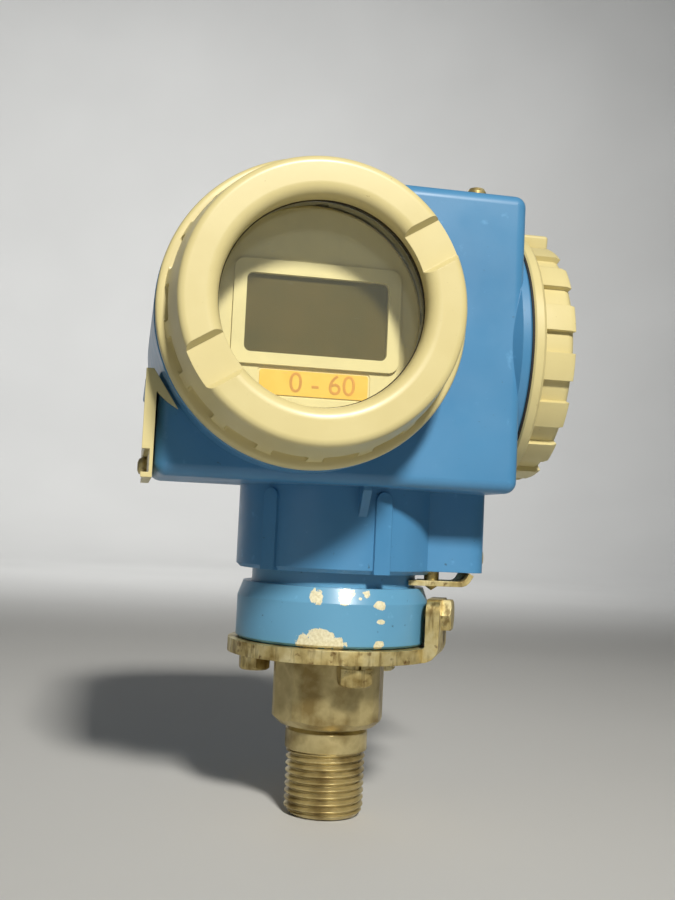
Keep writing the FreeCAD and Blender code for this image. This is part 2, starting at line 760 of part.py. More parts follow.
# ------------------------------------------------------------------ outside screws and vent
def side_screw():
    screw = pan_screw(side_screw_r, side_screw_h, small_shank_r, small_shank_len)
    return moved(screw, V(block_right, side_screw_y, side_screw_z), X_AXIS)


def top_screw():
    screw = pan_screw(top_screw_r, top_screw_h, small_shank_r, small_shank_len)
    return moved(screw, V(top_screw_x, top_screw_y, body_top), Z_AXIS)


def vent_plug():
    """Vent element for the reference air: ribbed cap with a filter slot, screwed into the corner block."""
    cap = turned([(0, 0), (vent_cap_r, 0), (vent_cap_r, vent_cap_h - 1.2), (vent_cap_r - 1.2, vent_cap_h),
                  (0, vent_cap_h)])
    for k in range(8):
        notch = cylinder(0.6, vent_cap_h, polar(vent_cap_r, 45.0 * k))
        cap = cap.cut(notch)
    plug = fused(cap, cylinder(vent_r, vent_shank_len, V(0, 0, -vent_shank_len)))
    return moved(plug, V(vent_x, block_half_depth, vent_z), Y_AXIS)


# ------------------------------------------------------------------ screw covers
def display_cover():
    """Turned cover: threaded skirt, flange, tapered wall and a wide rounded front ring with two tool slots."""
    h = display_cover_h
    flange_back = cover_gap
    flange_front = cover_gap + cover_flange_t
    seat = h - 3.0 - window_lip
    body = turned([
        (hollow_r, -skirt_len), (skirt_r - 1.0, -skirt_len), (skirt_r, -skirt_len + 1.0), (skirt_r, flange_back),
        (cover_flange_r - 0.5, flange_back), (cover_flange_r, flange_back + 0.5),
        (cover_flange_r, flange_front - 0.8), (cover_flange_r - 0.8, flange_front),
        (display_wall_base_r, flange_front), (display_wall_front_r, h),
        (window_face_r + 1.2, h), (window_face_r, h - 0.7), (window_r + 0.2, h - 2.6), (window_r, h - 3.0),
        (window_r, seat), (hollow_r, seat)])
    front_edges = [e for e in body.Edges if abs(e.BoundBox.XMax - display_wall_front_r) < 0.01
                   and abs(e.CenterOfMass.z - h) < 0.01]
    body = body.makeFillet(display_front_r, front_edges)
    slot = block(-cover_flange_r, cover_flange_r, -tool_slot_w / 2, tool_slot_w / 2,
                 h - tool_slot_depth, h + 1)
    slot = slot.cut(cylinder(window_r, h, V(0, 0, 0)))
    body = body.cut(turned_about_z(slot, tool_slot_angle))
    return display_place(body.cut(side_pockets(flange_front)))


def side_pockets(flange_front):
    """Rounded grip pockets round the foot of the wall."""
    end_r = pocket_h / 2
    start = display_wall_base_r - pocket_depth
    length = 6.0
    pocket = block(start, start + length, -pocket_w / 2 + end_r, pocket_w / 2 - end_r,
                   flange_front, flange_front + pocket_h)
    for side in (-1, 1):
        end = cylinder(end_r, length, V(start, side * (pocket_w / 2 - end_r), flange_front + end_r), X_AXIS)
        pocket = pocket.fuse(end)
    pocket = pocket.removeSplitter()
    step = 360.0 / pocket_count
    return Part.makeCompound([turned_about_z(pocket, pocket_phase + step * k) for k in range(pocket_count)])


def glass_levels():
    seat = display_cover_h - 3.0 - window_lip
    glass_front = seat - glass_seal_t
    return seat, glass_front, glass_front - glass_t


def cover_glass():
    front, back = glass_levels()[1:]
    return display_place(turned([(0, back), (hollow_r - 0.4, back), (hollow_r - 0.4, front - 0.4),
                                 (hollow_r - 0.8, front), (0, front)]))


def glass_seal():
    front = glass_levels()[1]
    return display_place(tube(hollow_r - 0.9, window_r + 0.4, glass_seal_t, V(0, 0, front)))


def glass_retainer():
    """Ring screwed in behind the glass, with two spanner notches."""
    back = glass_levels()[2]
    ring = tube(hollow_r - 0.05, retainer_bore_r, retainer_t, V(0, 0, back - retainer_t))
    for angle in (0.0, 90.0):
        notch = block(-hollow_r, hollow_r, -1.5, 1.5, back - retainer_t, back - retainer_t + 1.2)
        ring = ring.cut(turned_about_z(notch, angle))
    return display_place(ring)


def cover_seal():
    return tube(seal_outer_r, seal_inner_r, cover_gap, V(0, 0, 0))


def terminal_cover():
    """Blind cover: skirt, flange and a castellated crown with one locking lug."""
    h = terminal_cover_h
    flange_front = cover_gap + cover_flange_t
    body = turned([
        (0, h - cover_wall), (hollow_r, h - cover_wall), (hollow_r, -skirt_len), (skirt_r - 1.0, -skirt_len),
        (skirt_r, -skirt_len + 1.0), (skirt_r, cover_gap), (terminal_flange_r - 0.5, cover_gap),
        (terminal_flange_r, cover_gap + 0.5), (terminal_flange_r, flange_front - 1.0),
        (terminal_flange_r - 1.0, flange_front), (crown_r + 0.8, flange_front), (crown_r, flange_front + 1.0),
        (crown_r, h - crown_edge), (crown_r - crown_edge * 0.3, h - crown_edge * 0.3),
        (crown_r - crown_edge, h), (dish_r, h), (dish_r - dish_depth, h - dish_depth), (0, h - dish_depth)])
    block_out = crown_r + crown_block_proud
    half = math.pi * block_out * crown_block_share / crown_block_count
    single = block(crown_r - 2.0, block_out, -half, half, flange_front - 0.5, h - crown_edge * 0.6)
    outer_edges = [e for e in single.Edges if abs(e.CenterOfMass.x - block_out) < 0.01
                   and abs(e.CenterOfMass.z - (h - crown_edge * 0.6)) < 0.01]
    single = single.makeChamfer(crown_edge * 0.7, outer_edges)
    step = 360.0 / crown_block_count
    first = -90.0 - crown_block_phase
    blocks = [turned_about_z(single, first + step * k) for k in range(crown_block_count)]
    lug = block(crown_r - 2.0, terminal_flange_r, -lug_width / 2, lug_width / 2, flange_front - 1.0, lug_end)
    lug_edges = [e for e in lug.Edges if abs(e.CenterOfMass.x - terminal_flange_r) < 0.01
                 and abs(e.CenterOfMass.z - lug_end) < 0.01]
    lug = turned_about_z(lug.makeFillet(1.5, lug_edges), -90.0 - lug_angle)
    return terminal_place(fused(body, *blocks, lug))


# ------------------------------------------------------------------ display and electronics
def lcd_block(past, low, high):
    """Block as large as the display, or larger all round by past, between two levels."""
    return rounded_block(lcd_x - lcd_w / 2 - past, lcd_x + lcd_w / 2 + past, lcd_z - lcd_h / 2 - past,
                         lcd_z + lcd_h / 2 + past, low, high, lcd_corner_r + past)


def label_block(past, low, high):
    return rounded_block(lcd_x - label_w / 2 - past, lcd_x + label_w / 2 + past, label_z - label_h / 2 - past,
                         label_z + label_h / 2 + past, low, high, label_corner_r + past)


def display_bezel():
    """Moulded face plate: a sunk outer field with the label's seat, and a raised field round the window."""
    plate = turned([(0, carrier_front), (bezel_r, carrier_front), (bezel_r, bezel_field - 0.6),
                    (bezel_r - 0.6, bezel_field), (0, bezel_field)])
    raised = rounded_block(lcd_x - lcd_w / 2 - raised_side, lcd_x + lcd_w / 2 + raised_side,
                           lcd_z - lcd_h / 2 - raised_below, lcd_z + lcd_h / 2 + raised_above,
                           carrier_front + 0.5, bezel_front, raised_corner_r)
    raised = raised.common(cylinder(bezel_r - 1.2, bezel_t, V(0, 0, carrier_front)))
    body = fused(plate, raised)
    body = body.cut(lcd_block(0, bezel_front - lcd_sunk, bezel_front))
    body = body.cut(lcd_block(lcd_slack, bezel_front - lcd_sunk - lcd_t, bezel_front - lcd_sunk))
    return display_place(body.cut(label_block(label_slack, bezel_field - label_sunk, bezel_field)))


def lcd_panel():
    return display_place(lcd_block(0, bezel_front - lcd_sunk - lcd_t, bezel_front - lcd_sunk))


def range_label():
    low = bezel_field - label_sunk
    return display_place(label_block(0, low, low + label_t))


def electronics_module():
    """Potted module on three posts, with the display unit's round carrier in front."""
    flange_front = module_back + module_flange_t
    body = turned([(0, module_back - module_len), (module_can_r, module_back - module_len),
                   (module_can_r, module_back), (module_flange_r, module_back),
                   (module_flange_r, flange_front), (bezel_r, flange_front), (bezel_r, carrier_front),
                   (0, carrier_front)])
    for angle in module_boss_angles:
        hole = cylinder(small_shank_r, module_flange_t, polar(module_boss_ring_r, angle, module_back))
        relief = cylinder(module_screw_head_r + 0.4, carrier_front - flange_front,
                          polar(module_boss_ring_r, angle, flange_front))
        body = body.cut(hole).cut(relief)
    return display_place(body)


def module_screws():
    head = pan_screw(module_screw_head_r, module_screw_head_h, small_shank_r,
                     module_flange_t + module_screw_reach)
    screws = []
    for angle in module_boss_angles:
        screw = head.copy()
        screw.translate(polar(module_boss_ring_r, angle, module_back + module_flange_t))
        screws.append(display_place(screw))
    return Part.makeCompound(screws)


def feedthrough():
    """Sealed plug that carries the wires through the partition."""
    length = casting_wall + 2 * feedthrough_proud
    plug = cylinder(feedthrough_r, length, V(partition_x - casting_wall - feedthrough_proud, 0, compartment_z),
                    X_AXIS)
    room = cylinder(cavity_r, 2 * body_half_depth, V(barrel_x, -body_half_depth, compartment_z), Y_AXIS)
    return plug.cut(room)


# ------------------------------------------------------------------ terminals
def terminal_positions():
    return [V(partition_x + terminal_t, (k - 1) * terminal_pitch, compartment_z) for k in range(3)]


def terminal_block():
    base = block(partition_x, partition_x + terminal_t, -terminal_w / 2, terminal_w / 2,
                 compartment_z - terminal_h / 2, compartment_z + terminal_h / 2)
    for k in (0, 1):
        y = (k - 0.5) * terminal_pitch
        base = base.cut(block(partition_x + terminal_t * 0.45, partition_x + terminal_t, y - terminal_slot / 2,
                              y + terminal_slot / 2, compartment_z - terminal_h / 2,
                              compartment_z + terminal_h / 2))
    for place in terminal_positions():
        base = base.cut(cylinder(small_shank_r, terminal_t * 0.8, place, V(-1, 0, 0)))
    recess = cylinder(feedthrough_r + 0.3, feedthrough_proud + 0.3, V(partition_x, 0, compartment_z), X_AXIS)
    return base.cut(recess)


def wire_clamps():
    clamps = []
    half = clamp_side / 2
    for place in terminal_positions():
        plate = block(place.x, place.x + clamp_t, place.y - half, place.y + half, place.z - half, place.z + half)
        clamps.append(plate.cut(cylinder(small_shank_r, clamp_t, place, X_AXIS)))
    return Part.makeCompound(clamps)


def terminal_screws():
    screw = pan_screw(terminal_head_r, terminal_head_h, small_shank_r, clamp_t + terminal_t * 0.7)
    return Part.makeCompound([moved(screw, place + V(clamp_t, 0, 0), X_AXIS) for place in terminal_positions()])


def inner_earth_screw():
    screw = pan_screw(side_screw_r, side_screw_h, small_shank_r, earth_pad_h + 2.5)
    return moved(screw, V(partition_x + earth_pad_h, earth_y, compartment_z - earth_drop), X_AXIS)


# ------------------------------------------------------------------ keys and flap
def key_flap():
    """Moulded flap: side plate with a screw channel, and two ears that reach round to the box's faces."""
    width = body_half_depth + flap_side_gap
    plate = block(flap_outer, flap_inner, -width, width, flap_bottom, flap_plate_top)
    channel = block(flap_outer - 1, flap_seat, -width - 1, width + 1, channel_bottom, channel_top)
    plate = plate.cut(channel)
    plate = plate.cut(cylinder(small_shank_r, flap_t + 2, V(flap_outer - 1, 0, flap_screw_z), X_AXIS))
    ears = [flap_ear(-width - flap_ear_t, flap_ear_proud), flap_ear(width, 0)]
    pin_half = width + flap_ear_t - pin_cover
    hole = cylinder(pin_r, 2 * pin_half, V(pivot_x, -pin_half, pivot_z), Y_AXIS)
    wedge = underside_wedge(flap_outer - flap_ear_proud, barrel_x, flap_bottom)
    return fused(plate, *ears).cut(hole).cut(wedge)


def flap_ear(start, proud):
    """Flat ear in the XZ plane: a narrow flat top, a straight upper edge to the tip, hollow below it."""
    outer = flap_outer - proud
    top = pivot_z + pivot_r
    reach = barrel_r + ear_barrel_gap
    angle = math.radians(ear_tip_angle)
    tip = V(barrel_x + reach * math.cos(angle), start, compartment_z + reach * math.sin(angle))
    root = V(flap_inner, start, tip.z + ear_root_drop - 1.4)
    hollow = V((tip.x + root.x) / 2 - 0.9, start, tip.z + 2.3)
    edges = [
        Part.makePolygon([tip, V(outer + ear_top_w, start, top), V(outer, start, top),
                          V(outer, start, flap_bottom), V(flap_inner, start, flap_bottom), root]),
        Part.Arc(root, hollow, tip).toShape(),
    ]
    sheet = Part.Face(Part.Wire(edges[0].Edges + [edges[1]])).extrude(V(0, flap_ear_t, 0))
    channel = block(outer - 1, flap_seat, start, start + flap_ear_t, channel_bottom, channel_top)
    return sheet.cut(channel)


def flap_pin():
    """Hinge pin through the lug; its ends sit in blind holes in the ears."""
    length = 2 * (body_half_depth + flap_side_gap + flap_ear_t - pin_cover)
    return cylinder(pin_r - 0.05, length, V(pivot_x, -length / 2, pivot_z), Y_AXIS)


def flap_screw():
    """Captive screw that lies in the flap's channel; its end reaches into a wider hole in the housing."""
    reach = body_left + flap_screw_depth - flap_seat
    screw = pan_screw(flap_screw_head_r, flap_screw_head_h, small_shank_r, reach)
    return moved(screw, V(flap_seat, 0, flap_screw_z), V(-1, 0, 0))


def key_plate():
    """Plate let into the left side that guides the three keys."""
    plate = block(body_left, body_left + key_plate_t, -key_plate_w / 2, key_plate_w / 2,
                  key_z - key_plate_h / 2, key_z + key_plate_h / 2)
    for k in range(len(key_names)):
        plate = plate.cut(cylinder(key_r + key_slack, key_plate_t, V(body_left, (k - 1) * key_pitch, key_z),
                                   X_AXIS))
    for side in (-1, 1):
        centre = V(body_left, side * key_plate_screw_y, key_z)
        plate = plate.cut(cylinder(key_plate_shank_r, key_plate_t, centre, X_AXIS))
        plate = plate.cut(cylinder(key_plate_screw_r + 0.1, key_plate_screw_h, centre, X_AXIS))
    return plate


def key_plate_screws():
    screw = pan_screw(key_plate_screw_r, key_plate_screw_h, key_plate_shank_r, key_plate_shank_len)
    return Part.makeCompound([moved(screw, V(body_left + key_plate_screw_h, side * key_plate_screw_y, key_z),
                                    V(-1, 0, 0)) for side in (-1, 1)])


def push_key(index):
    """Push key: stem through the guide plate, with a wider head behind it."""
    tip = flap_inner + key_gap_to_flap
    back = body_left + key_plate_t
    y = (index - 1) * key_pitch
    stem = cylinder(key_r, back - tip, V(tip, y, key_z), X_AXIS)
    head = cylinder(key_head_r, key_head_t, V(back, y, key_z), X_AXIS)
    return fused(stem, head)


def key_spring(index):
    """Helical return spring of square wire between the key's head and the pocket's floor."""
    wire = key_spring_wire / 2
    start = body_left + key_plate_t + key_head_t + wire
    end = body_left + key_pocket_depth - wire
    steps = int(key_spring_turns * key_spring_steps)
    mid_r = key_spring_r - wire
    rings = []
    for k in range(steps + 1):
        angle = 2 * math.pi * k / key_spring_steps
        along = start + (end - start) * k / steps
        ring = []
        for out, side in ((-wire, -wire), (wire, -wire), (wire, wire), (-wire, wire)):
            y = (mid_r + out) * math.cos(angle) + (index - 1) * key_pitch
            ring.append(V(along + side, y, key_z + (mid_r + out) * math.sin(angle)))
        rings.append(ring)
    faces = [flat_face(rings[0][::-1]), flat_face(rings[-1])]
    for first, second in zip(rings, rings[1:]):
        for k in range(4):
            a, b, c, d = first[k], first[(k + 1) % 4], second[(k + 1) % 4], second[k]
            faces.append(flat_face([a, b, c]))
            faces.append(flat_face([a, c, d]))
    solid = Part.Solid(Part.Shell(faces))
    if solid.Volume < 0:
        solid.reverse()
    return solid


def flat_face(points):
    return Part.Face(Part.makePolygon(points + points[:1]))


# ------------------------------------------------------------------ write one STEP file per piece
def all_parts():
    parts = {
        "process_connection": process_connection(),
        "process_diaphragm": process_diaphragm(),
        "sensor_capsule": sensor_capsule(),
        "sensor_board": sensor_board(),
        "sensor_lead": sensor_lead(),
        "flange_gasket": flange_gasket(),
        "lock_plate": lock_plate(),
        "plate_bolts": plate_bolts(),
        "plate_washers": plate_washers(),
        "arm_bolt": arm_bolt(),
        "sensor_housing": sensor_housing(),
        "neck_seal": neck_seal(),
        "lock_strap": lock_strap(),
        "lock_screw": lock_screw(),
        "housing": housing(),
        "side_screw": side_screw(),
        "top_screw": top_screw(),
        "vent_plug": vent_plug(),
        "display_cover": display_cover(),
        "cover_glass": cover_glass(),
        "glass_seal": glass_seal(),
        "glass_retainer": glass_retainer(),
        "display_cover_seal": display_place(cover_seal()),
        "terminal_cover": terminal_cover(),
        "terminal_cover_seal": terminal_place(cover_seal()),
        "display_bezel": display_bezel(),
        "lcd_panel": lcd_panel(),
        "range_label": range_label(),
        "electronics_module": electronics_module(),
        "module_screws": module_screws(),
        "feedthrough": feedthrough(),
        "terminal_block": terminal_block(),
        "wire_clamps": wire_clamps(),
        "terminal_screws": terminal_screws(),
        "inner_earth_screw": inner_earth_screw(),
        "key_flap": key_flap(),
        "flap_pin": flap_pin(),
        "flap_screw": flap_screw(),
        "key_plate": key_plate(),
        "key_plate_screws": key_plate_screws(),
    }
    for index, name in enumerate(key_names):
        parts[name] = push_key(index)
        parts[name + "_spring"] = key_spring(index)
    return parts


os.makedirs("parts", exist_ok=True)
for node, shape in all_parts().items():
    shape.exportStep(os.path.join("parts", node + ".step"))
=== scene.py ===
import json
import math

import bpy
from mathutils import Matrix, Vector


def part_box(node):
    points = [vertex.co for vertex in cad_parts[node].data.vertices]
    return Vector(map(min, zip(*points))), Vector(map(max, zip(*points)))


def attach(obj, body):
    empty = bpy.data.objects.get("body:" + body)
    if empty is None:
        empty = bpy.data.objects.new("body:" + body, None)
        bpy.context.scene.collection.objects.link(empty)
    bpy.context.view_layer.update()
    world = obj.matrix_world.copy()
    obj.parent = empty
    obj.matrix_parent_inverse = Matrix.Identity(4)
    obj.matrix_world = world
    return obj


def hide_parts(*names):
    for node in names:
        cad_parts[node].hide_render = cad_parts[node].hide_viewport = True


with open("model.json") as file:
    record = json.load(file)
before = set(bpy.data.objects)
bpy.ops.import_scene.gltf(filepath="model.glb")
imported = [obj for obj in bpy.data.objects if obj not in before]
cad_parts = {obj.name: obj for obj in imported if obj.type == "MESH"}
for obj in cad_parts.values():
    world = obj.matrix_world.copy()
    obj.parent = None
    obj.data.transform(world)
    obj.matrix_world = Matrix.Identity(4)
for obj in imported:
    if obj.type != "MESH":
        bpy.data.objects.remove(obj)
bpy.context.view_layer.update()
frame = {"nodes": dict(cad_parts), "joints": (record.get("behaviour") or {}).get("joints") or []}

node = frame["nodes"]
joint = {j["name"]: j for j in frame["joints"]}
mm = 0.001
bpy.ops.object.select_all(action="DESELECT")

# ---------------------------------------------------------------- threaded process connection
# One bar of stainless steel, turned and milled: a pipe thread to screw into a manifold, a plain neck,
# an octagon for the wrench, and inside the sensor housing the flange that carries the diaphragm.


def lathe(name, outline, steps=144):
    """Turns a closed outline of (radius, height) points in millimetres about Z."""
    points = [(r * mm, h * mm) for r, h in outline]
    bpy.ops.mesh.primitive_plane_add(size=mm)
    piece = bpy.context.object
    piece.name = name
    bpy.ops.object.mode_set(mode="EDIT")
    bpy.ops.mesh.select_mode(type="VERT")
    bpy.ops.mesh.select_all(action="SELECT")
    bpy.ops.mesh.merge(type="CENTER")
    bpy.ops.transform.translate(value=(points[0][0], 0, points[0][1]))
    for (r0, h0), (r1, h1) in zip(points, points[1:]):
        bpy.ops.mesh.extrude_vertices_move(TRANSFORM_OT_translate={"value": (r1 - r0, 0, h1 - h0)})
    if steps:
        bpy.ops.mesh.select_all(action="SELECT")
        bpy.ops.mesh.spin(steps=steps, angle=2 * math.pi, center=(0, 0, 0), axis=(0, 0, 1))
        bpy.ops.mesh.select_all(action="SELECT")
        bpy.ops.mesh.remove_doubles(threshold=1e-6)
        bpy.ops.mesh.normals_make_consistent(inside=False)
    bpy.ops.object.mode_set(mode="OBJECT")
    return piece


def alone(piece):
    """Selects one piece and makes it the active one."""
    bpy.ops.object.select_all(action="DESELECT")
    piece.select_set(True)
    bpy.context.view_layer.objects.active = piece


def apply_all(piece):
    """Applies every modifier on a piece."""
    alone(piece)
    for modifier in list(piece.modifiers):
        bpy.ops.object.modifier_apply(modifier=modifier.name)


def machined(piece, tool, operation):
    """Cuts, joins or trims a piece with another, which is used up."""
    modifier = piece.modifiers.new("tool", "BOOLEAN")
    modifier.operation = operation
    modifier.solver = "EXACT"
    modifier.object = tool
    apply_all(piece)
    bpy.data.objects.remove(tool)
    return piece


def smooth(piece, angle):
    """Smooth shading up to an angle between faces, with large faces kept flat."""
    alone(piece)
    bpy.ops.object.shade_smooth_by_angle(angle=math.radians(angle))
    even = piece.modifiers.new("even_normals", "WEIGHTED_NORMAL")
    even.keep_sharp = True
    apply_all(piece)


thread_r = 10.67
thread_root_r = 9.45
thread_pitch = 1.814
thread_len = 17.0
thread_runout = 0.2
lead_len = 1.9
neck_r = 11.1
neck_chamfer = 0.25
undercut = 0.8
octagon_low = 23.7
octagon_foot_r = 13.1
octagon_foot_len = 1.9
octagon_turned_r = 15.1
octagon_flats = 29.0
octagon_angle = -110.0
core_r = octagon_turned_r - 3
plate_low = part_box("lock_plate")[0].z / mm
plate_high = plate_low + 3.6
inner_flange_r = 17.6
flange_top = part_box("process_connection")[1].z / mm
weld_r, weld_depth = 11.2, 0.3
cell_r, cell_depth = 9.5, 1.2
port_r, port_len, port_chamfer = 5.7, 14, 0.2
drilling_r, drilling_low = 2.5, 17.2

# The thread's profile wound up past both ends, cut to length, then turned down at its lead.
p = thread_pitch
profile = [(thread_root_r, -2 * p), (thread_root_r, -1.93 * p), (thread_r, -1.56 * p), (thread_r, -1.44 * p),
           (thread_root_r, -1.07 * p), (thread_root_r, -p)]
thread = lathe("pipe_thread", profile, steps=0)
wind = thread.modifiers.new("wind", "SCREW")
wind.screw_offset = p * mm
wind.iterations = int(thread_len / p) + 4
wind.steps = 72
wind.render_steps = 72
wind.use_merge_vertices = True
apply_all(thread)
bpy.ops.object.mode_set(mode="EDIT")
for height, side in ((0.0, -1), (thread_len + thread_runout, 1)):
    bpy.ops.mesh.select_all(action="SELECT")
    bpy.ops.mesh.bisect(plane_co=(0, 0, height * mm), plane_no=(0, 0, side), use_fill=True, clear_outer=True,
                        threshold=1e-7)
bpy.ops.mesh.select_all(action="SELECT")
bpy.ops.mesh.remove_doubles(threshold=1e-6)
bpy.ops.mesh.normals_make_consistent(inside=False)
bpy.ops.object.mode_set(mode="OBJECT")
outline = [(0, -1), (thread_root_r - 0.9, -1), (thread_root_r - 0.2, 0), (thread_r + 0.4, lead_len),
           (thread_r + 0.4, thread_len + 1), (0, thread_len + 1)]
connection = machined(thread, lathe("lead_chamfer", outline, 72), "INTERSECT")
connection.name = "threaded_connection"

outline = [(0, thread_len), (neck_r - neck_chamfer, thread_len), (neck_r, thread_len + neck_chamfer),
           (neck_r, octagon_low - 2 * undercut), (neck_r - undercut, octagon_low - undercut),
           (neck_r - undercut, octagon_low + 0.4), (core_r, octagon_low + 0.4), (core_r, plate_low - 1),
           (octagon_turned_r, plate_low - 1), (octagon_turned_r, plate_high), (inner_flange_r, plate_high),
           (inner_flange_r, flange_top), (weld_r, flange_top), (weld_r, flange_top - weld_depth),
           (cell_r, flange_top - weld_depth), (cell_r, flange_top - cell_depth), (0, flange_top - cell_depth)]
connection = machined(connection, lathe("upper", outline, 96), "UNION")
bpy.ops.mesh.primitive_cylinder_add(vertices=8, radius=octagon_flats / 2 / math.cos(math.pi / 8) * mm,
                                    depth=(plate_low - octagon_low) * mm,
                                    location=(0, 0, (plate_low + octagon_low) / 2 * mm),
                                    rotation=(0, 0, math.radians(octagon_angle + 22.5)))
octagon = bpy.context.object
outline = [(0, octagon_low - 1), (octagon_foot_r, octagon_low - 1), (octagon_foot_r, octagon_low),
           (octagon_turned_r, octagon_low + octagon_foot_len), (octagon_turned_r, plate_low + 1),
           (0, plate_low + 1)]
octagon = machined(octagon, lathe("turning", outline, 96), "INTERSECT")
connection = machined(connection, octagon, "UNION")
outline = [(0, -1), (port_r + port_chamfer, -1), (port_r, 0.3), (port_r, port_len), (drilling_r, drilling_low),
           (drilling_r, flange_top + 1), (0, flange_top + 1)]
connection = machined(connection, lathe("port", outline, 48), "DIFFERENCE")
smooth(connection, 30)


def screen(colour):
    """Linear red, green and blue from screen values of 0 to 255."""
    return [c / 255 / 12.92 if c / 255 <= 0.04045 else ((c / 255 + 0.055) / 1.055) ** 2.4 for c in colour]


def finish_of(name, colour, roughness, metallic=0.0):
    """A material, its node tree and its shader; the colour is given as it looks on a screen."""
    material = bpy.data.materials.new(name)
    material.use_nodes = True
    shader = material.node_tree.nodes["Principled BSDF"]
    shader.inputs["Base Color"].default_value = (*screen(colour), 1)
    shader.inputs["Roughness"].default_value = roughness
    shader.inputs["Metallic"].default_value = metallic
    return material, material.node_tree, shader


def wired(tree, kind, links=None, **values):
    """Adds a shader node, sets its sockets by name and links others."""
    made = tree.nodes.new("ShaderNode" + kind)
    for name, value in values.items():
        made.inputs[name.replace("_", " ")].default_value = value
    for name, socket in (links or {}).items():
        tree.links.new(socket, made.inputs[name])
    return made


def noise(tree, size, detail=3.0, stretch=(1, 1, 1)):
    """Noise on the piece's own coordinates; size is that of one blotch in millimetres."""
    place = tree.nodes.new("ShaderNodeTexCoord").outputs["Object"]
    scaled = wired(tree, "Mapping", {"Vector": place}, Scale=stretch).outputs["Vector"]
    return wired(tree, "TexNoise", {"Vector": scaled}, Scale=1 / (size * mm), Detail=detail).outputs["Fac"]


def stepped(tree, factor, stops):
    """Colour ramp from (place, grey or screen colour) stops."""
    ramp = wired(tree, "ValToRGB", {"Fac": factor})
    ramp.color_ramp.elements.remove(ramp.color_ramp.elements[0])
    for k, (place, colour) in enumerate(stops):
        stop = ramp.color_ramp.elements[0] if k == 0 else ramp.color_ramp.elements.new(place)
        stop.position = place
        stop.color = (colour, colour, colour, 1) if isinstance(colour, float) else (*screen(colour), 1)
    return ramp.outputs["Color"]


def mixed(tree, factor, first, second):
    """Mix of two colours, each a socket or screen values."""
    mix = tree.nodes.new("ShaderNodeMix")
    mix.data_type = "RGBA"
    tree.links.new(factor, mix.inputs["Factor"])
    for name, colour in (("A", first), ("B", second)):
        socket = [s for s in mix.inputs if s.name == name and s.type == "RGBA"][0]
        if isinstance(colour, (tuple, list)):
            socket.default_value = (*screen(colour), 1)
        else:
            tree.links.new(colour, socket)
    return [s for s in mix.outputs if s.type == "RGBA"][0]


def bumped(tree, shader, heights, soft_edge=0.0):
    """Small relief: heights are (socket, strength, distance in millimetres); soft_edge rounds sharp edges."""
    normal = None
    if soft_edge:
        normal = wired(tree, "Bevel", Radius=soft_edge * mm).outputs["Normal"]
    for height, strength, distance in heights:
        bump = wired(tree, "Bump", {"Height": height}, Strength=strength, Distance=distance * mm)
        if normal:
            tree.links.new(normal, bump.inputs["Normal"])
        normal = bump.outputs["Normal"]
    tree.links.new(normal, shader.inputs["Normal"])


def dress(piece, material, body):
    """Gives a new piece its material and body."""
    piece.data.materials.clear()
    piece.data.materials.append(material)
    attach(piece, body)


turned_steel, tree, shader = finish_of("turned_steel", (176, 160, 114), roughness=0.42, metallic=0.7)
grime = stepped(tree, noise(tree, 9, detail=5),
                [(0.35, (146, 126, 78)), (0.55, (204, 188, 136)), (0.75, (172, 154, 104))])
worn = stepped(tree, noise(tree, 4, detail=4), [(0.3, 0.3), (0.8, 0.5)])
turning_lines = noise(tree, 0.5, detail=2, stretch=(0.02, 0.02, 1))
tree.links.new(grime, shader.inputs["Base Color"])
tree.links.new(worn, shader.inputs["Roughness"])
bumped(tree, shader, [(turning_lines, 0.25, 0.05), (noise(tree, 1.2, detail=3), 0.15, 0.05)], soft_edge=0.15)
dress(connection, turned_steel, "body")
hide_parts("process_connection")

# ---------------------------------------------------------------- measuring cell
# Waved diaphragm welded to the flange, a potted capsule with its small board and the lead up to the
# electronics, all closed in by the sensor housing; rubber gaskets seal it and the covers.


def paint_nodes(names, material):
    """Gives CAD nodes their finish."""
    for name in names:
        node[name].data.materials.clear()
        node[name].data.materials.append(material)


def plain_finish(name, colour, roughness, metallic=0.0, grain=0.6, variation=0.08):
    """Moulded or rolled finish with a fine grain and a little uneven colour."""
    material, tree, shader = finish_of(name, colour, roughness, metallic)
    darker = tuple(c * (1 - variation) for c in colour)
    lighter = tuple(min(255, c * (1 + variation)) for c in colour)
    shade = stepped(tree, noise(tree, 6, detail=4), [(0.3, darker), (0.7, lighter)])
    tree.links.new(shade, shader.inputs["Base Color"])
    bumped(tree, shader, [(noise(tree, grain, detail=2), 0.2, 0.04)], soft_edge=0.15)
    return material


cell_steel = plain_finish("cell_steel", (190, 190, 190), 0.3, metallic=1.0)
paint_nodes(("process_diaphragm", "sensor_capsule"), cell_steel)
paint_nodes(("sensor_board",), plain_finish("board_green", (38, 92, 54), 0.5))
paint_nodes(("sensor_lead",), plain_finish("lead_grey", (150, 150, 142), 0.6))
paint_nodes(("flange_gasket", "neck_seal", "glass_seal", "display_cover_seal", "terminal_cover_seal"),
            plain_finish("black_rubber", (30, 30, 30), 0.75))

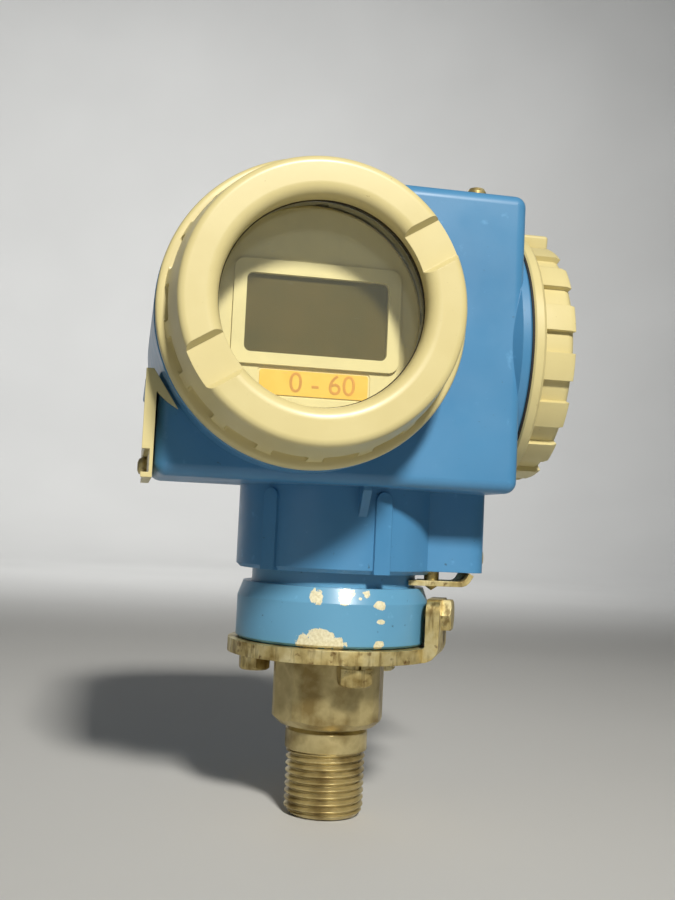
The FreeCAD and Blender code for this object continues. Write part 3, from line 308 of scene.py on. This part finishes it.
# ---------------------------------------------------------------- lock plate and bolts
# Zinc-plated sheet plate between octagon and sensor housing, with an arm bent up beside it; three bolts
# with spring washers come up through it, and a bolt through the arm pins the sensor housing. The strap,
# the flap's pin and all other screws have the same stained plating.
plated_steel, tree, shader = finish_of("plated_steel", (200, 182, 126), roughness=0.45, metallic=0.7)
stain = stepped(tree, noise(tree, 5, detail=5),
                [(0.3, (150, 126, 70)), (0.5, (206, 188, 130)), (0.7, (228, 216, 168))])
streak = stepped(tree, noise(tree, 1.3, detail=5, stretch=(1, 1, 0.16)), [(0.52, 0.0), (0.68, 0.7)])
rust = stepped(tree, noise(tree, 2.2, detail=6), [(0.60, 0.0), (0.72, 1.0)])
worn = stepped(tree, noise(tree, 3, detail=4), [(0.3, 0.34), (0.8, 0.6)])
streaked = mixed(tree, streak, stain, (112, 88, 44))
tree.links.new(mixed(tree, rust, streaked, (120, 92, 52)), shader.inputs["Base Color"])
tree.links.new(worn, shader.inputs["Roughness"])
bumped(tree, shader, [(noise(tree, 0.8, detail=4), 0.35, 0.08)], soft_edge=0.25)
plated = ("lock_plate", "plate_bolts", "plate_washers", "arm_bolt", "lock_strap", "lock_screw", "side_screw",
          "top_screw", "module_screws", "terminal_screws", "flap_pin", "flap_screw", "key_plate_screws")
paint_nodes(plated, plated_steel)

# ---------------------------------------------------------------- painted castings
# Two-compartment housing and sensor housing in blue enamel, semi-gloss over die-cast metal, with a faint
# orange peel, rubs and dirt; the sensor housing is chipped down to the pale primer round its edges.


def vector_maths(tree, operation, first, second=(0, 0, 0)):
    """Vector maths on a socket and a value."""
    made = wired(tree, "VectorMath", {0: first})
    made.operation = operation
    made.inputs[1].default_value = second
    return made


def maths(tree, operation, first, second):
    """Maths on two sockets."""
    made = wired(tree, "Math", {0: first, 1: second})
    made.operation = operation
    return made.outputs[0]


def chipped(tree, chips, radius):
    """1 where paint is off; a chip is (angle round Z, height, half width, half height), degrees and mm."""
    place = tree.nodes.new("ShaderNodeTexCoord").outputs["Object"]
    level = None
    for angle, height, half_w, half_h in chips:
        turn = math.radians(angle)
        centre = (radius * math.cos(turn) * mm, radius * math.sin(turn) * mm, height * mm)
        away = vector_maths(tree, "SUBTRACT", place, centre).outputs["Vector"]
        shrunk = vector_maths(tree, "DIVIDE", away, (half_w * mm, half_w * mm, half_h * mm)).outputs["Vector"]
        distance = vector_maths(tree, "LENGTH", shrunk).outputs["Value"]
        near = wired(tree, "MapRange", {"Value": distance}, From_Min=0, From_Max=2, To_Min=1, To_Max=0)
        near = near.outputs["Result"]
        level = maths(tree, "MAXIMUM", level, near) if level else near
    ragged = wired(tree, "TexNoise", {"Vector": place}, Scale=420, Detail=8, Roughness=0.62)
    return stepped(tree, maths(tree, "MULTIPLY", level, ragged.outputs["Fac"]), [(0.245, 0.0), (0.255, 1.0)])


def blue_enamel(name, blue, chips=(), radius=0.0):
    """Blue enamel, chipped in places round a casting of a given radius."""
    material, tree, shader = finish_of(name, blue, roughness=0.36)
    darker, lighter, rubbed = ([c + step for c in blue] for step in (-5, 5, 18))
    shade = stepped(tree, noise(tree, 30, detail=3), [(0.3, darker), (0.7, lighter)])
    rub = stepped(tree, noise(tree, 3.5, detail=6), [(0.66, 0.0), (0.76, 1.0)])
    dirt = stepped(tree, noise(tree, 1.6, detail=5), [(0.70, 0.0), (0.78, 1.0)])
    colour = mixed(tree, rub, shade, rubbed)
    colour = mixed(tree, dirt, colour, (58, 92, 112))
    heights = [(noise(tree, 0.9, detail=2), 0.12, 0.05)]
    if chips:
        bare = chipped(tree, chips, radius)
        primer = stepped(tree, noise(tree, 0.6, detail=5), [(0.3, (206, 196, 156)), (0.7, (232, 226, 196))])
        colour = mixed(tree, bare, colour, primer)
        heights.append((bare, -0.8, 0.15))
    gloss = stepped(tree, noise(tree, 8, detail=4), [(0.3, 0.32), (0.8, 0.46)])
    tree.links.new(colour, shader.inputs["Base Color"])
    tree.links.new(gloss, shader.inputs["Roughness"])
    shader.inputs["Coat Weight"].default_value = 0.2
    shader.inputs["Coat Roughness"].default_value = 0.25
    bumped(tree, shader, heights, soft_edge=0.3)
    return material


sensor_r = 26.0
ring_chips = [(-115, 47.6, 2.6, 2.2), (-110, 48.0, 3.2, 2.8), (-104, 47.6, 3.2, 2.6), (-98, 47.2, 2.8, 2.2),
              (-110, 59.4, 1.7, 2.2), (-93.5, 59.6, 2.0, 2.4), (-90, 60.4, 1.4, 1.2), (-80.3, 60.2, 1.5, 1.1),
              (-73, 57.2, 1.7, 1.1), (-72, 53.2, 1.1, 0.6), (-72.5, 47.2, 1.5, 1.3), (-85, 59.0, 0.9, 0.6)]
paint_nodes(("housing",), blue_enamel("housing_paint", (74, 134, 178)))
paint_nodes(("sensor_housing",), blue_enamel("ring_paint", (98, 156, 190), ring_chips, sensor_r))

# ---------------------------------------------------------------- vent plug, feedthrough and terminal block
# Black moulded plastic pieces: the vent plug lets the reference air in, the feedthrough seals the wires
# between the two compartments, and the block carries the terminals.
paint_nodes(("vent_plug", "feedthrough", "terminal_block"), plain_finish("black_plastic", (36, 36, 37), 0.5))

# ---------------------------------------------------------------- electronics and display unit
# Dark potted module on three posts; in front of it the cream face plate with a sunk panel, and a yellow
# range label below the panel, printed with plain digits.
module_black = plain_finish("module_black", (44, 44, 46), 0.55)
paint_nodes(("electronics_module", "key_plate"), module_black)
paint_nodes(("glass_retainer",), cell_steel)
paint_nodes(("display_bezel",), plain_finish("face_plastic", (236, 224, 160), 0.5, grain=0.5, variation=0.02))

panel_glass, tree, shader = finish_of("panel_glass", (104, 92, 48), roughness=0.2)
tint = stepped(tree, noise(tree, 18, detail=2), [(0.35, (84, 76, 36)), (0.65, (98, 84, 40))])
tree.links.new(tint, shader.inputs["Base Color"])
paint_nodes(("lcd_panel",), panel_glass)

yellow_film, tree, shader = finish_of("yellow_film", (250, 206, 92), roughness=0.45)
fade = stepped(tree, noise(tree, 5, detail=3), [(0.3, (250, 200, 62)), (0.7, (254, 212, 84))])
tree.links.new(fade, shader.inputs["Base Color"])
bumped(tree, shader, [(noise(tree, 0.6, detail=3), 0.2, 0.03)])
paint_nodes(("range_label",), yellow_film)

label_low, label_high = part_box("range_label")
label_fill = 0.86
type_size = 1.35
digits_shift = 2.0 * mm
ink_height = 0.02 * mm
bpy.ops.object.text_add(rotation=(math.pi / 2, 0, 0))
digits = bpy.context.object
digits.name = "range_digits"
digits.data.body = "0 - 60"
digits.data.align_x = "CENTER"
digits.data.align_y = "CENTER"
digits.data.size = (label_high.z - label_low.z) * label_fill * type_size
digits.data.extrude = ink_height
digits.location = ((label_low.x + label_high.x) / 2 + digits_shift, label_low.y - ink_height,
                   (label_low.z + label_high.z) / 2)
bpy.ops.object.convert(target="MESH")
bpy.ops.object.transform_apply(location=True, rotation=True, scale=True)
dress(digits, plain_finish("label_ink", (224, 158, 54), 0.6), "body")

# ---------------------------------------------------------------- display cover
# Die-cast and turned cover with a window: threaded skirt, flange, a wall with grip pockets round its foot,
# and a wide front ring with two tool slots; cream enamel. Heights run from the housing's mouth outwards.


def quarter(steps, first=0):
    """Sine and cosine of equal steps over a quarter turn."""
    angles = [math.pi / 2 / steps * k for k in range(first, steps + 1)]
    return [(math.sin(angle), math.cos(angle)) for angle in angles]


def block(across, centre, turn=0.0):
    """Box of a given size about a centre, in millimetres, turned round Z."""
    bpy.ops.mesh.primitive_cube_add(size=mm, location=[c * mm for c in centre], rotation=(0, 0, turn))
    bpy.context.object.scale = across
    bpy.ops.object.transform_apply(location=True, rotation=True, scale=True)
    return bpy.context.object


def rounded(piece, radius):
    """Rounds a piece's edges."""
    edges = piece.modifiers.new("round", "BEVEL")
    edges.width = radius * mm
    edges.segments = 3
    apply_all(piece)


def placed(piece, turn, place=(0, 0, 0)):
    """Turns and moves a piece, with its origin left at the world's."""
    alone(piece)
    piece.rotation_euler = turn
    piece.location = place
    bpy.ops.object.transform_apply(location=True, rotation=True, scale=True)


def faces_where(piece, wanted):
    """Selects the faces whose centre and normal pass a test, and stays in edit mode."""
    alone(piece)
    bpy.ops.object.mode_set(mode="EDIT")
    bpy.ops.mesh.select_mode(type="FACE")
    bpy.ops.mesh.select_all(action="DESELECT")
    bpy.ops.object.mode_set(mode="OBJECT")
    for face in piece.data.polygons:
        face.select = wanted(face.center / mm, face.normal)
    bpy.ops.object.mode_set(mode="EDIT")


mouth = Vector(joint["display_cover_turn"]["pos_m"])
cover_low, cover_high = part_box("display_cover")
cover_h = (mouth.y - cover_low.y) / mm
skirt_len = (cover_high.y - mouth.y) / mm
skirt_r = 31.6
skirt_chamfer = 1
hollow_r = 27.6
flange_low = 0.6
flange_high = 4.0
flange_r = (cover_high.z - cover_low.z) / 2 / mm
flange_chamfer = 0.5
flange_round = 0.9
wall_base_r = 34.8
wall_front_r = 32.2
wall_flare = 0.2
corner_r = 1.6
window_r = 23.4
bevel_r = 26.2
bevel_lip = 0.3
bevel_depth = 3.0
glass_seat = cover_h - 4.7
steps = 144

outline = [(hollow_r, -skirt_len), (skirt_r - skirt_chamfer, -skirt_len),
           (skirt_r, skirt_chamfer - skirt_len), (skirt_r, flange_low), (flange_r - flange_chamfer, flange_low),
           (flange_r, flange_low + flange_chamfer), (flange_r, flange_high - flange_round),
           (flange_r - flange_round / 3, flange_high - flange_round / 3),
           (flange_r - flange_round, flange_high), (wall_base_r, flange_high)]
for sine, cosine in quarter(6):
    outline.append((wall_front_r + wall_flare * cosine - corner_r * (1 - cosine),
                    cover_h - corner_r * (1 - sine)))
outline += [(bevel_r + bevel_lip, cover_h), (bevel_r, cover_h)]
for sine, cosine in quarter(6, first=1):
    outline.append((bevel_r - (bevel_r - window_r) * sine, cover_h - bevel_depth * (1 - cosine)))
outline += [(window_r, glass_seat), (hollow_r, glass_seat), (hollow_r, -skirt_len)]
ring = lathe("display_cover_ring", outline, steps)

pocket_count = 18
pocket_phase = 2.0
pocket_size = (6, 8.4, 4.5)
pocket_r = 35.9
pocket_z = flange_high + 0.03 + pocket_size[2] / 2
edge_r = 0.9
pockets = None
for k in range(pocket_count):
    turn = math.radians(pocket_phase + 360 / pocket_count * k)
    pocket = block(pocket_size, (pocket_r * math.cos(turn), pocket_r * math.sin(turn), pocket_z), turn)
    if pockets:
        pockets.select_set(True)
        bpy.context.view_layer.objects.active = pockets
        bpy.ops.object.join()
    else:
        pockets = pocket
rounded(pockets, edge_r)
ring = machined(ring, pockets, "DIFFERENCE")

# One bar with drafted sides cuts both tool slots; the window's middle is kept clear of it.
slot_w = 8.8
slot_depth = 2.0
slot_angle = 32.0
slot_draft = 1.15
cutter = block((80, slot_w, 2 * slot_depth), (0, 0, cover_h))
faces_where(cutter, lambda centre, normal: normal.z > 0.9)
bpy.ops.transform.resize(value=(1, 1 + 4 * slot_draft / slot_w, 1))
bpy.ops.object.mode_set(mode="OBJECT")
placed(cutter, (0, 0, math.radians(slot_angle)))
keep_r = window_r - 0.5
keep = lathe("keep", [(0, cover_h - 8), (keep_r, cover_h - 8), (keep_r, cover_h + 8), (0, cover_h + 8)], 72)
cutter = machined(cutter, keep, "DIFFERENCE")
ring = machined(ring, cutter, "DIFFERENCE")
facing_front = (math.pi / 2, 0, 0)
placed(ring, facing_front, mouth)
smooth(ring, 40)

cream_paint, tree, shader = finish_of("cream_paint", (214, 200, 144), roughness=0.4)
shade = stepped(tree, noise(tree, 14, detail=4), [(0.3, (211, 197, 140)), (0.7, (217, 204, 148))])
mark = stepped(tree, noise(tree, 1.1, detail=5), [(0.72, 0.0), (0.78, 1.0)])
gloss = stepped(tree, noise(tree, 6, detail=4), [(0.3, 0.34), (0.8, 0.48)])
tree.links.new(mixed(tree, mark, shade, (176, 158, 108)), shader.inputs["Base Color"])
tree.links.new(gloss, shader.inputs["Roughness"])
shader.inputs["Coat Weight"].default_value = 0.2
shader.inputs["Coat Roughness"].default_value = 0.3
bumped(tree, shader, [(noise(tree, 0.8, detail=2), 0.12, 0.05), (mark, -0.2, 0.05)], soft_edge=0.25)
paint_nodes(("key_flap",), cream_paint)
dress(ring, cream_paint, "display_cover_group")
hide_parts("display_cover")

window_glass, tree, shader = finish_of("window_glass", (206, 212, 196), roughness=0.06)
scratch = stepped(tree, noise(tree, 2.5, detail=6, stretch=(1, 1, 5)), [(0.70, 0.05), (0.74, 0.16)])
tree.links.new(scratch, shader.inputs["Alpha"])
paint_nodes(("cover_glass",), window_glass)

# A thin dark ring is laid in the corner where the glass meets the window's rim.
rim_line_r = window_r - 0.02
outline = [(rim_line_r, glass_seat + 0.1), (rim_line_r - 0.2, glass_seat), (rim_line_r, glass_seat + 0.4)]
window_rim_line = lathe("window_rim_line", outline, 96)
placed(window_rim_line, facing_front, mouth)
dress(window_rim_line, plain_finish("window_rim_line", (52, 44, 30), 0.8), "display_cover_group")

# ---------------------------------------------------------------- terminals
# Brass clamps under plated screws on the black block, one for each wire, and a brass earth screw on its
# pad beside them.
paint_nodes(("wire_clamps", "inner_earth_screw"), plain_finish("brass", (196, 164, 92), 0.32, metallic=1.0))

# ---------------------------------------------------------------- terminal cover
# Blind cast cover over the terminals: skirt, flange and a crown of sixteen grip blocks with one locking lug,
# a shallow round dish in the face; cream enamel.
mouth = Vector(joint["terminal_cover_turn"]["pos_m"])
cap_h = 13.4
cap_wall = 4
cap_flange_r = 36.1
crown_r = 31.9
crown_fillet = 0.6
crown_edge = [(0, 2.2), (0.5, 1), (1.4, 0.3), (2.4, 0)]
dish_r = 19
dish_edge = [(1.4, 0), (0.6, 0.3), (0, 1)]
outline = [(0, cap_h - cap_wall), (hollow_r, cap_h - cap_wall), (hollow_r, -skirt_len),
           (skirt_r - skirt_chamfer, -skirt_len), (skirt_r, skirt_chamfer - skirt_len), (skirt_r, flange_low),
           (cap_flange_r - flange_chamfer, flange_low), (cap_flange_r, flange_low + flange_chamfer),
           (cap_flange_r, flange_high - flange_round), (cap_flange_r - flange_round, flange_high),
           (crown_r + crown_fillet, flange_high), (crown_r, flange_high + crown_fillet)]
outline += [(crown_r - inward, cap_h - down) for inward, down in crown_edge]
outline += [(dish_r + outward, cap_h - down) for outward, down in dish_edge] + [(0, cap_h - 1)]
cap = lathe("terminal_cap", outline, steps)
block_step = 360 / 16
block_phase = -90 + 9.5
block_half_angle = 5.1
block_rise = 1.5
lug_size = (4.2, 9, 10.6)
lug_place = (34, 0, 8.3)
lug_angle = -90 - 81.6
placed(cap, (0, 0, math.radians(block_phase + 360 / steps / 2)))


def in_block(centre, normal):
    """Whether a face of the crown lies on one of the grip blocks."""
    angle = math.degrees(math.atan2(centre.y, centre.x)) % 360
    across = (angle - block_phase + block_step / 2) % block_step - block_step / 2
    on_crown = math.hypot(centre.x, centre.y) > crown_r - 0.9 and flange_high + 0.3 < centre.z < cap_h - 0.4
    return on_crown and abs(across) < block_half_angle and abs(normal.z) < 0.97


faces_where(cap, in_block)
bpy.ops.mesh.extrude_region_shrink_fatten(TRANSFORM_OT_shrink_fatten={"value": block_rise * mm})
bpy.ops.object.mode_set(mode="OBJECT")
lug = block(lug_size, lug_place)
rounded(lug, edge_r)
placed(lug, (0, 0, math.radians(lug_angle)))
cap = machined(cap, lug, "UNION")
placed(cap, (0, math.pi / 2, 0), mouth)
smooth(cap, 40)
dress(cap, cream_paint, "terminal_cover_group")
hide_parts("terminal_cover")

# ---------------------------------------------------------------- keys behind the flap
# Three moulded push keys in a guide plate behind the cream flap, each on a small coil spring of drawn
# steel wire.
keys = ("key_zero", "key_span", "key_enter")
paint_nodes(keys, plain_finish("key_cap", (206, 200, 176), 0.45))
spring_wire = plain_finish("spring_wire", (176, 176, 176), 0.35, metallic=1.0)
paint_nodes([key + "_spring" for key in keys], spring_wire)

# ---------------------------------------------------------------- studio
# Seamless pale floor that curves up into a round wall, one soft key light from above in front, a weak
# fill from the left, and a light on the wall behind.
floor_z = -0.4
floor_r = 1600
sweep_r = 900
wall_top = 2600
sweep = [(0, floor_z), (floor_r, floor_z)]
for sine, cosine in quarter(8, first=1):
    sweep.append((floor_r + sweep_r * sine, floor_z + sweep_r * (1 - cosine)))
sweep.append((floor_r + sweep_r, wall_top))
floor = lathe("floor", sweep, 96)
bpy.ops.object.mode_set(mode="EDIT")
bpy.ops.mesh.flip_normals()
bpy.ops.object.mode_set(mode="OBJECT")
smooth(floor, 60)
pale_floor, tree, shader = finish_of("pale_floor", (202, 202, 200), roughness=0.8)
pale = stepped(tree, noise(tree, 300, detail=2), [(0.3, (200, 200, 198)), (0.7, (205, 205, 203))])
tree.links.new(pale, shader.inputs["Base Color"])
floor.data.materials.append(pale_floor)

world = bpy.data.worlds.new("studio")
bpy.context.scene.world = world
world.use_nodes = True
world.node_tree.nodes["Background"].inputs["Color"].default_value = (*screen((214, 224, 236)), 1)
world.node_tree.nodes["Background"].inputs["Strength"].default_value = 0.09


def softbox(name, place, target, size, power, spread, colour=(255, 255, 255)):
    """Square area light at a place in metres, looking at a target; power in watts, spread in degrees."""
    light = bpy.data.lights.new(name, "AREA")
    light.size = size
    light.spread = math.radians(spread)
    light.energy = power
    light.color = screen(colour)
    holder = bpy.data.objects.new(name, light)
    holder.location = place
    holder.rotation_euler = (Vector(target) - Vector(place)).to_track_quat("-Z", "Y").to_euler()
    bpy.context.scene.collection.objects.link(holder)


middle = (0, 0, 0.09)
softbox("key_light", (0.13, -1.3, 1.04), middle, size=0.2, power=2.25, spread=50, colour=(255, 251, 243))
softbox("fill_light", (-0.9, -0.8, 0.3), middle, size=0.8, power=0.2, spread=90)
softbox("wall_light", (0, 0.5, 1.3), (0, 2.3, 0.5), size=1.0, power=20, spread=120)

camera = bpy.data.cameras.new("camera")
camera.sensor_width = 36
camera.lens = 43.2
camera.clip_start = 0.01
camera_place = (-0.0564, -0.2927, 0.0765)
holder = bpy.data.objects.new("camera", camera)
bpy.context.scene.collection.objects.link(holder)
bpy.context.scene.camera = holder
yaw, pitch, roll = (math.radians(angle) for angle in (10.8, -4.1, 2.7))
facing = Matrix.Rotation(math.pi / 2, 3, "X")
right, down, ahead = (Matrix.Rotation(roll, 3, "Z") @ Matrix.Rotation(pitch, 3, "X")
                      @ Matrix.Rotation(-yaw, 3, "Y") @ facing)
axes = Matrix((right, -down, -ahead)).transposed()
holder.matrix_world = Matrix.Translation(camera_place) @ axes.to_4x4()
bpy.context.scene.view_settings.view_transform = "Standard"
